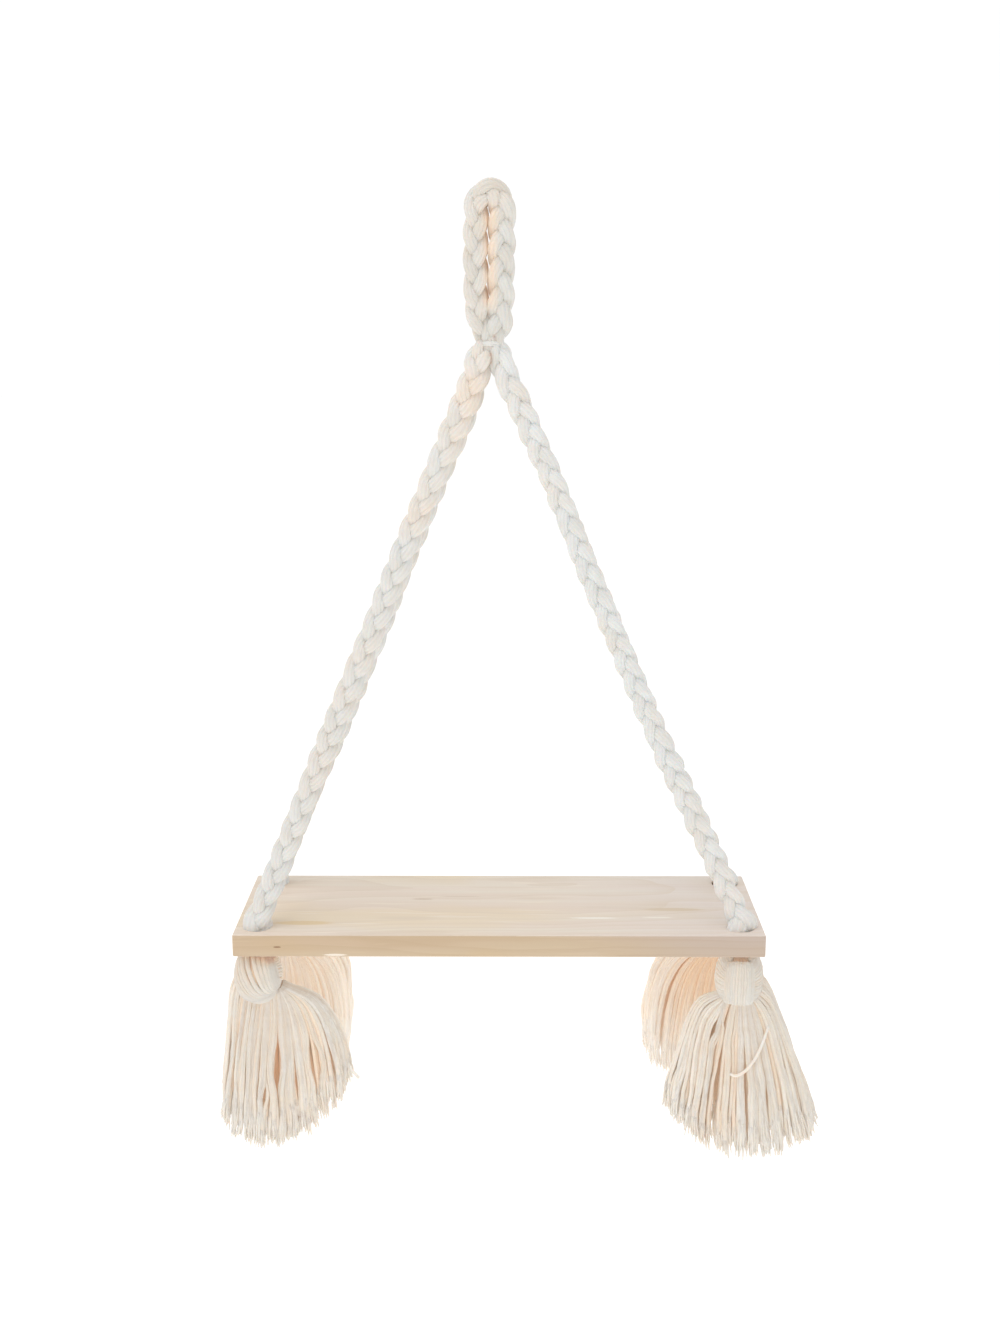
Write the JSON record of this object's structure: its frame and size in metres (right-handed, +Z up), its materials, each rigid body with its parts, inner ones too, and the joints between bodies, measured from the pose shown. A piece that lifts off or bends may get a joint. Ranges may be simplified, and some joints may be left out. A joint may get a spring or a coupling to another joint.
{
  "type": "hanging rope shelf",
  "caption": "Pale wood board hung from a lashed loop by plaited cotton ropes that end in knots and tassels under it.",
  "frame": {"origin": "where the hook bears, at the top of the slit inside the hanging loop", "axes": "+Z up, +X along the board to the right, front towards -Y"},
  "size_m": [0.4819, 0.1558, 0.7829],
  "materials": {
    "board_wood": "fine-sanded, unfinished",
    "cotton": "soft plaited cotton yarn",
    "white_thread": "thin cotton thread"
  },
  "bodies": {
    "loop": {"front_loop_strand_1": "cotton", "front_loop_strand_2": "cotton", "front_loop_strand_3": "cotton", "back_loop_strand_1": "cotton", "back_loop_strand_2": "cotton", "back_loop_strand_3": "cotton"},
    "lashing": {"lashing_thread": "white_thread"},
    "neck": {"rope_neck": "cotton"},
    "shelf": {"board": "board_wood", "front_left_leg_strand_1": "cotton", "front_left_leg_strand_2": "cotton", "front_left_leg_strand_3": "cotton", "front_left_knot": "cotton", "front_right_leg_strand_1": "cotton", "front_right_leg_strand_2": "cotton", "front_right_leg_strand_3": "cotton", "front_right_knot": "cotton", "back_left_leg_strand_1": "cotton", "back_left_leg_strand_2": "cotton", "back_left_leg_strand_3": "cotton", "back_left_knot": "cotton", "back_right_leg_strand_1": "cotton", "back_right_leg_strand_2": "cotton", "back_right_leg_strand_3": "cotton", "back_right_knot": "cotton"},
    "front_left_tassel_neck": {"front_left_tassel_neck": "cotton"},
    "front_left_tassel": {"front_left_tassel": "cotton"},
    "front_right_tassel_neck": {"front_right_tassel_neck": "cotton"},
    "front_right_tassel": {"front_right_tassel": "cotton"},
    "back_left_tassel_neck": {"back_left_tassel_neck": "cotton"},
    "back_left_tassel": {"back_left_tassel": "cotton"},
    "back_right_tassel_neck": {"back_right_tassel_neck": "cotton"},
    "back_right_tassel": {"back_right_tassel": "cotton"}
  },
  "joints": [
    {"name": "swivel", "type": "hinge", "parent": "loop", "child": "lashing", "pos_m": [0, 0, -0.106], "axis": [0, 0, 1], "range_deg": [-60, 60], "stiffness_Nm_per_rad": 0.015},
    {"name": "sway", "type": "hinge", "parent": "lashing", "child": "neck", "pos_m": [0, 0, -0.106], "axis": [0, 1, 0], "range_deg": [-15, 15]},
    {"name": "rock", "type": "hinge", "parent": "neck", "child": "shelf", "pos_m": [0, 0, -0.106], "axis": [1, 0, 0], "range_deg": [-15, 15]},
    {"name": "front_left_tassel_rock", "type": "hinge", "parent": "shelf", "child": "front_left_tassel_neck", "pos_m": [-0.18544, -0.05094, -0.6278], "axis": [1, 0, 0], "range_deg": [-25, 8]},
    {"name": "front_left_tassel_sway", "type": "hinge", "parent": "front_left_tassel_neck", "child": "front_left_tassel", "pos_m": [-0.18544, -0.05094, -0.6278], "axis": [0, 1, 0], "range_deg": [-20, 20]},
    {"name": "front_right_tassel_rock", "type": "hinge", "parent": "shelf", "child": "front_right_tassel_neck", "pos_m": [0.19944, -0.05094, -0.6278], "axis": [1, 0, 0], "range_deg": [-25, 8]},
    {"name": "front_right_tassel_sway", "type": "hinge", "parent": "front_right_tassel_neck", "child": "front_right_tassel", "pos_m": [0.19944, -0.05094, -0.6278], "axis": [0, 1, 0], "range_deg": [-20, 20]},
    {"name": "back_left_tassel_rock", "type": "hinge", "parent": "shelf", "child": "back_left_tassel_neck", "pos_m": [-0.18544, 0.05094, -0.6278], "axis": [1, 0, 0], "range_deg": [-8, 25]},
    {"name": "back_left_tassel_sway", "type": "hinge", "parent": "back_left_tassel_neck", "child": "back_left_tassel", "pos_m": [-0.18544, 0.05094, -0.6278], "axis": [0, 1, 0], "range_deg": [-20, 20]},
    {"name": "back_right_tassel_rock", "type": "hinge", "parent": "shelf", "child": "back_right_tassel_neck", "pos_m": [0.19944, 0.05094, -0.6278], "axis": [1, 0, 0], "range_deg": [-8, 25]},
    {"name": "back_right_tassel_sway", "type": "hinge", "parent": "back_right_tassel_neck", "child": "back_right_tassel", "pos_m": [0.19944, 0.05094, -0.6278], "axis": [0, 1, 0], "range_deg": [-20, 20]}
  ]
}
